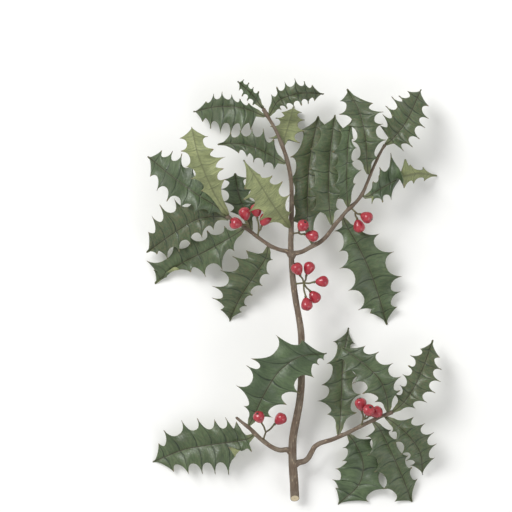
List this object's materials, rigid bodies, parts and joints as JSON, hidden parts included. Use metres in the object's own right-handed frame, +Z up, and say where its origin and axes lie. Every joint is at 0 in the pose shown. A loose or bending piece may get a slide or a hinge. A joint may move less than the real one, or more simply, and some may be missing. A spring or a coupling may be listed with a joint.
{
  "type": "holly sprig",
  "caption": "Cut holly sprig lying flat: woody stem with side shoots, spiny evergreen leaves on both faces, and clusters of red berries on short stalks.",
  "frame": {"origin": "middle of the sprig in x and y, on the surface that it lies on", "axes": "+Y runs along the main stem from its cut end to its growing tip, +X to the right seen from above, +Z up from the surface"},
  "size_m": [0.2058, 0.2982, 0.0613],
  "materials": {
    "bark": "grey-brown young bark with fine lengthwise ridges, matt; cream wood at the cut end",
    "leaf_green": "waxy deep green leaf face with a paler midrib and slanting side veins",
    "leaf_underside": "matt yellow-green leaf underside with a raised midrib",
    "berry_stalk": "thin green-brown stalk, matt",
    "berry": "smooth glossy crimson skin with a small dark scar at the end",
    "bud": "scaly green-brown bud"
  },
  "bodies": {
    "root": {"leaf_base_crossing": "leaf_green", "leaf_base_left": "leaf_green", "leaf_left_hanging": "leaf_green", "leaf_left_inner": "leaf_green", "leaf_left_lower": "leaf_green", "leaf_left_middle": "leaf_green", "leaf_left_upper": "leaf_green", "leaf_low_right_back": "leaf_green", "leaf_low_right_end": "leaf_green", "leaf_low_right_front": "leaf_green", "leaf_low_right_side": "leaf_green", "leaf_low_right_under_1": "leaf_green", "leaf_low_right_under_2": "leaf_green", "leaf_right_end": "leaf_green", "leaf_right_fan_1": "leaf_green", "leaf_right_fan_2": "leaf_green", "leaf_right_fan_3": "leaf_green", "leaf_right_hanging": "leaf_green", "leaf_right_high": "leaf_green", "leaf_right_side": "leaf_green", "leaf_tip_left": "leaf_green", "leaf_tip_right": "leaf_green", "leaf_tip_small": "leaf_green", "leaf_top_left": "leaf_green", "left_inner_berry_1": "berry", "left_inner_berry_2": "berry", "left_inner_berry_stalks": "berry_stalk", "left_outer_berry_1": "berry", "left_outer_berry_2": "berry", "left_outer_berry_stalks": "berry_stalk", "lower_left_berry_1": "berry", "lower_left_berry_2": "berry", "lower_left_berry_stalks": "berry_stalk", "lower_left_shoot": "bark", "lower_right_berry_1": "berry", "lower_right_berry_2": "berry", "lower_right_berry_3": "berry", "lower_right_berry_stalks": "berry_stalk", "lower_right_shoot": "bark", "main_stem": "bark", "middle_berry_1": "berry", "middle_berry_2": "berry", "middle_berry_3": "berry", "middle_berry_4": "berry", "middle_berry_5": "berry", "middle_berry_stalks": "berry_stalk", "pale_leaf_left": "leaf_underside", "pale_leaf_middle": "leaf_underside", "pale_leaf_top": "leaf_underside", "right_berry_1": "berry", "right_berry_2": "berry", "right_berry_stalks": "berry_stalk", "stem_berry_1": "berry", "stem_berry_2": "berry", "stem_berry_stalks": "berry_stalk", "terminal_bud": "bud", "upper_left_shoot": "bark", "upper_right_shoot": "bark"}
  },
  "joints": []
}
